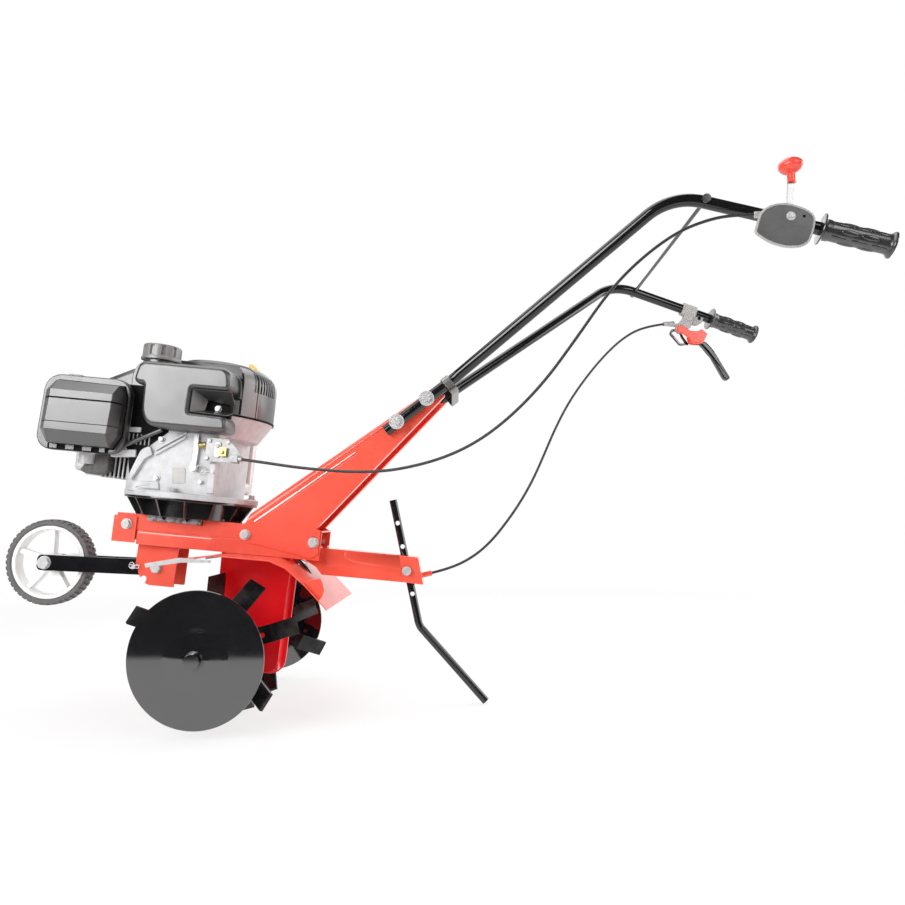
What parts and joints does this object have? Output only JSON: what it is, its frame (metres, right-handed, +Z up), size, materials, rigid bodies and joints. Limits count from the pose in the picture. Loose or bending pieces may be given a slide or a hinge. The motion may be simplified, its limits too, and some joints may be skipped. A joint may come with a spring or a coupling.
{
  "type": "garden tiller",
  "caption": "Walk-behind petrol garden tiller with vertical-shaft engine, worm-geared tine rotor, guard discs, fold-up transport wheel, drag stake and splayed handlebars with controls.",
  "frame": {"origin": "centre of the footprint box on the ground, cables left out", "axes": "+X to the rear, where the operator walks; +Y to the operator's right; +Z up"},
  "size_m": [1.49, 0.5858, 0.8838],
  "materials": {
    "red_paint": "gloss",
    "black_paint": "satin",
    "zinc": "satin",
    "steel": "satin",
    "yellow_zinc": "satin",
    "cast_aluminium": "satin",
    "black_plastic": "matt",
    "grey_plastic": "satin",
    "red_plastic": "gloss",
    "white_plastic": "satin",
    "yellow_plastic": "gloss",
    "rubber": "matt",
    "tyre": "matt",
    "cable_jacket": "satin"
  },
  "bodies": {
    "chassis": {"frame_rails": "red_paint", "engine_deck": "red_paint", "front_bracket": "red_paint", "handle_column": "red_paint", "rear_arm": "red_paint", "wheel_bracket": "red_paint", "tine_guard": "red_paint", "frame_bolts": "zinc", "gearcase": "red_paint", "bearings": "steel", "drive_belt": "rubber", "depth_stake": "black_paint", "handle_tube_right": "black_paint", "handle_tube_left": "black_paint", "brace_rod": "black_paint", "tube_strap": "zinc", "grip_right": "rubber", "grip_left": "rubber", "throttle_case": "black_plastic", "clutch_clamp": "grey_plastic", "base_ring": "black_plastic", "crankcase": "cast_aluminium", "cylinder": "cast_aluminium", "blower_housing": "black_plastic", "starter_cover": "black_plastic", "fuel_tank": "black_plastic", "intake": "cast_aluminium", "muffler": "steel", "oil_filler": "black_plastic", "control_plate": "zinc", "throttle_cable": "cable_jacket", "clutch_cable": "cable_jacket"},
    "tine_rotor": {"tine_shaft": "steel", "worm_wheel": "yellow_zinc", "tine_hubs": "black_paint", "tine_blades_right": "black_paint", "tine_blades_left": "black_paint", "guard_disc_right": "black_paint", "guard_disc_left": "black_paint", "rotor_pins": "zinc"},
    "worm": {"worm_shaft": "steel"},
    "crank": {"crankshaft": "steel", "flywheel": "cast_aluminium"},
    "wheel_arm": {"wheel_arms": "black_paint", "wheel_pins": "zinc"},
    "wheel": {"wheel_rim": "white_plastic", "wheel_tyre": "tyre"},
    "throttle": {"throttle_lever": "zinc", "throttle_knob": "red_plastic"},
    "engine_control": {"control_lever": "steel"},
    "clutch": {"clutch_lever": "red_plastic", "clutch_bar": "black_plastic"},
    "latch": {"clutch_latch": "black_plastic"},
    "idler": {"idler_arm": "steel"},
    "roller": {"idler_roller": "steel"},
    "cap": {"fuel_cap": "black_plastic"},
    "filter_lid": {"filter_cover": "black_plastic"},
    "oil_dipstick": {"dipstick": "yellow_plastic"},
    "starter": {"starter_grip": "black_plastic"},
    "depth_pin": {"stake_pin": "zinc"}
  },
  "joints": [
    {"name": "tine_spin", "type": "hinge", "parent": "chassis", "child": "tine_rotor", "pos_m": [-0.31785, 0, 0.1183], "axis": [0, 1, 0], "continuous": true},
    {"name": "worm_spin", "type": "hinge", "parent": "chassis", "child": "worm", "pos_m": [-0.27006, 0, 0.11387], "axis": [0.0924, 0, 0.9957], "continuous": true},
    {"name": "crank_spin", "type": "hinge", "parent": "chassis", "child": "crank", "pos_m": [-0.43535, 0, 0.1292], "axis": [0.0924, 0, 0.9957], "continuous": true},
    {"name": "wheel_arm_fold", "type": "hinge", "parent": "chassis", "child": "wheel_arm", "pos_m": [-0.46462, 0, 0.24239], "axis": [0, -1, 0], "range_deg": [0, 62]},
    {"name": "wheel_spin", "type": "hinge", "parent": "wheel_arm", "child": "wheel", "pos_m": [-0.66753, 0, 0.25167], "axis": [0, 1, 0], "continuous": true},
    {"name": "throttle_swing", "type": "hinge", "parent": "chassis", "child": "throttle", "pos_m": [0.58195, 0, 0.78905], "axis": [0, 1, 0], "range_deg": [-30, 30]},
    {"name": "engine_control_swing", "type": "hinge", "parent": "chassis", "child": "engine_control", "pos_m": [-0.33408, 0, 0.45223], "axis": [0, 1, 0], "range_deg": [-18, 18]},
    {"name": "clutch_squeeze", "type": "hinge", "parent": "chassis", "child": "clutch", "pos_m": [0.56712, 0, 0.74825], "axis": [0, -1, 0], "range_deg": [0, 28], "stiffness_Nm_per_rad": 1.2, "springref_deg": -14.32},
    {"name": "latch_swing", "type": "hinge", "parent": "chassis", "child": "latch", "pos_m": [0.56712, 0, 0.74825], "axis": [0, 1, 0], "range_deg": [-20, 20]},
    {"name": "idler_swing", "type": "hinge", "parent": "chassis", "child": "idler", "pos_m": [-0.30206, -0.009, 0.28857], "axis": [-0.0924, 0, -0.9957], "range_deg": [0, 10]},
    {"name": "idler_spin", "type": "hinge", "parent": "idler", "child": "roller", "pos_m": [-0.33791, 0.009, 0.2919], "axis": [0.0924, 0, 0.9957], "continuous": true},
    {"name": "fuel_cap_turn", "type": "hinge", "parent": "chassis", "child": "cap", "pos_m": [-0.43918, -0.103, 0.6076], "axis": [0.0924, 0, 0.9957], "range_deg": [0, 90]},
    {"name": "filter_cover_swing", "type": "hinge", "parent": "chassis", "child": "filter_lid", "pos_m": [-0.29033, -0.108, 0.41503], "axis": [0.9957, 0, -0.0924], "range_deg": [0, 70]},
    {"name": "dipstick_pull", "type": "slide", "parent": "chassis", "child": "oil_dipstick", "axis": [0.0924, 0, 0.9957], "range_m": [0, 0.185]},
    {"name": "starter_pull", "type": "slide", "parent": "chassis", "child": "starter", "axis": [0, 1, 0], "range_m": [0, 0.095], "stiffness_N_per_m": 60, "springref_m": -0.08},
    {"name": "depth_pin_pull", "type": "slide", "parent": "chassis", "child": "depth_pin", "axis": [0, -1, 0], "range_m": [0, 0.07]}
  ],
  "couplings": [
    {"joint": "worm_spin", "follows": "tine_spin", "ratio": 24},
    {"joint": "crank_spin", "follows": "tine_spin", "ratio": 35.52},
    {"joint": "engine_control_swing", "follows": "throttle_swing", "ratio": 0.6},
    {"joint": "idler_swing", "follows": "clutch_squeeze", "ratio": 0.35714}
  ]
}
